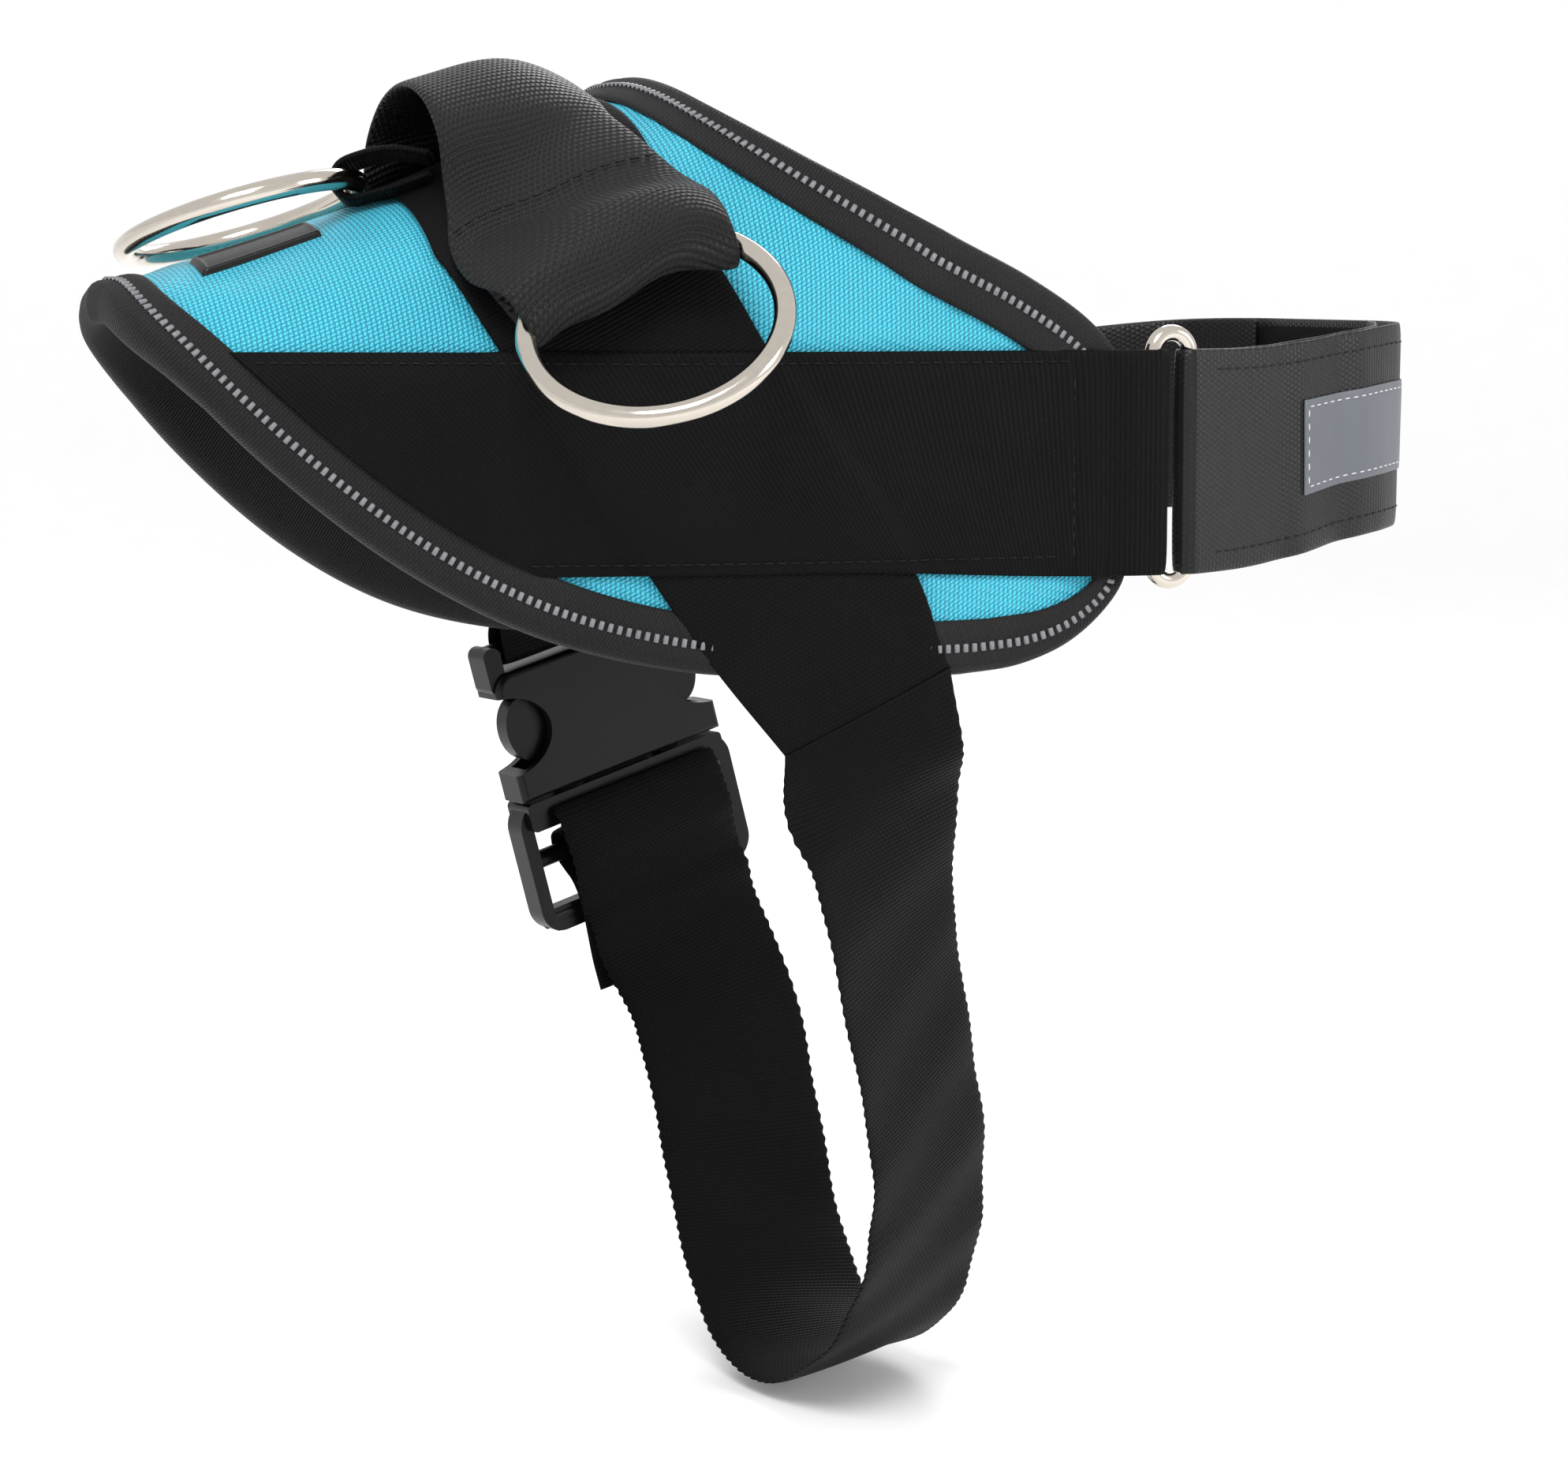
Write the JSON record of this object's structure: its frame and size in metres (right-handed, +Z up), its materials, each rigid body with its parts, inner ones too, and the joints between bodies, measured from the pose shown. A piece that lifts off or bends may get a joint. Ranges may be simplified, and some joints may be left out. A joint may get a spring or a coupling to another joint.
{
  "type": "dog harness",
  "caption": "Padded saddle style dog harness with grab handle, metal rings, chest strap on oval links and a belly strap with side release buckle.",
  "frame": {"origin": "where the dog's back touches the lining on the spine below the handle", "axes": "+X to the dog's head, +Y to the dog's left, +Z up"},
  "size_m": [0.3263, 0.2192, 0.3298],
  "materials": {
    "blue_nylon": "woven, slight sheen",
    "foam": "matte",
    "black_lining": "matte knit",
    "binding_tape": "ribbed",
    "reflective_yarn": "reflective",
    "black_webbing": "fine ribbed",
    "heavy_webbing": "coarse ribbed",
    "nickel": "polished nickel",
    "label_rubber": "satin",
    "satin_webbing": "satin",
    "hook_and_loop": "fuzzy",
    "reflective_fabric": "reflective grey",
    "buckle_plastic": "satin"
  },
  "bodies": {
    "saddle": {"saddle_cover": "blue_nylon", "saddle_padding": "foam", "saddle_lining": "black_lining", "edge_binding": "binding_tape", "edge_piping": "reflective_yarn", "girth_webbing": "black_webbing", "side_band_right": "black_webbing", "side_band_left": "black_webbing", "handle_webbing": "heavy_webbing", "ring_loop_right": "heavy_webbing", "ring_loop_left": "heavy_webbing", "leash_ring_tab": "black_webbing", "rubber_label": "label_rubber", "female_loop": "black_webbing", "buckle_female": "buckle_plastic"},
    "belly_strap": {"belly_webbing": "black_webbing", "adjuster_tail": "black_webbing", "buckle_male": "buckle_plastic"},
    "prong_front": {"prong_front": "buckle_plastic"},
    "prong_rear": {"prong_rear": "buckle_plastic"},
    "side_ring_right": {"side_ring_right": "nickel"},
    "side_ring_left": {"side_ring_left": "nickel"},
    "leash_ring": {"leash_ring": "nickel"},
    "front_link_right": {"front_link_right": "nickel"},
    "front_link_left": {"front_link_left": "nickel"},
    "chest_strap": {"chest_webbing": "satin_webbing", "loop_tape": "hook_and_loop", "hook_tape_right": "hook_and_loop", "hook_tape_left": "hook_and_loop", "reflective_patch": "reflective_fabric"}
  },
  "joints": [
    {"name": "belly_strap_release", "type": "hinge", "parent": "saddle", "child": "belly_strap", "pos_m": [0.07795, -0.07024, -0.13709], "axis": [-0.9518, -0.1507, -0.2672], "range_deg": [0, 65], "deforming": ["prong_front", "prong_rear"]},
    {"name": "prong_front_squeeze", "type": "hinge", "parent": "belly_strap", "child": "prong_front", "pos_m": [0.0865, 0.084, -0.14414], "axis": [0.1564, -0.9877, 0], "range_deg": [0, 7], "stiffness_Nm_per_rad": 0.3},
    {"name": "prong_rear_squeeze", "type": "hinge", "parent": "belly_strap", "child": "prong_rear", "pos_m": [0.05699, 0.07932, -0.15242], "axis": [-0.1564, 0.9877, 0], "range_deg": [0, 7], "stiffness_Nm_per_rad": 0.3},
    {"name": "side_ring_right_swing", "type": "hinge", "parent": "saddle", "child": "side_ring_right", "pos_m": [0.02093, -0.06359, -0.0087], "axis": [0.9075, -0.3828, 0.1729], "range_deg": [-80, 16], "deforming": ["ring_loop_right"]},
    {"name": "side_ring_left_swing", "type": "hinge", "parent": "saddle", "child": "side_ring_left", "pos_m": [0.02093, 0.06359, -0.0087], "axis": [-0.9075, -0.3828, -0.1729], "range_deg": [-80, 16], "deforming": ["ring_loop_left"]},
    {"name": "leash_ring_swing", "type": "hinge", "parent": "saddle", "child": "leash_ring", "pos_m": [-0.02516, -0.00305, 0.00332], "axis": [0.4042, 0.9077, -0.1125], "range_deg": [0, 50], "deforming": ["leash_ring_tab"]},
    {"name": "front_link_right_swing", "type": "hinge", "parent": "saddle", "child": "front_link_right", "pos_m": [0.1422, -0.07935, -0.06], "axis": [0, 0, 1], "range_deg": [-25, 25]},
    {"name": "chest_strap_shift", "type": "hinge", "parent": "front_link_right", "child": "chest_strap", "pos_m": [0.1518, -0.07935, -0.06], "axis": [0, 0, 1], "range_deg": [-25, 25]},
    {"name": "front_link_left_swing", "type": "hinge", "parent": "saddle", "child": "front_link_left", "pos_m": [0.1422, 0.07935, -0.06], "axis": [0, 0, 1], "range_deg": [-25, 25]}
  ],
  "couplings": [
    {"joint": "chest_strap_shift", "follows": "front_link_right_swing", "ratio": -1},
    {"joint": "front_link_left_swing", "follows": "front_link_right_swing", "ratio": 1}
  ]
}
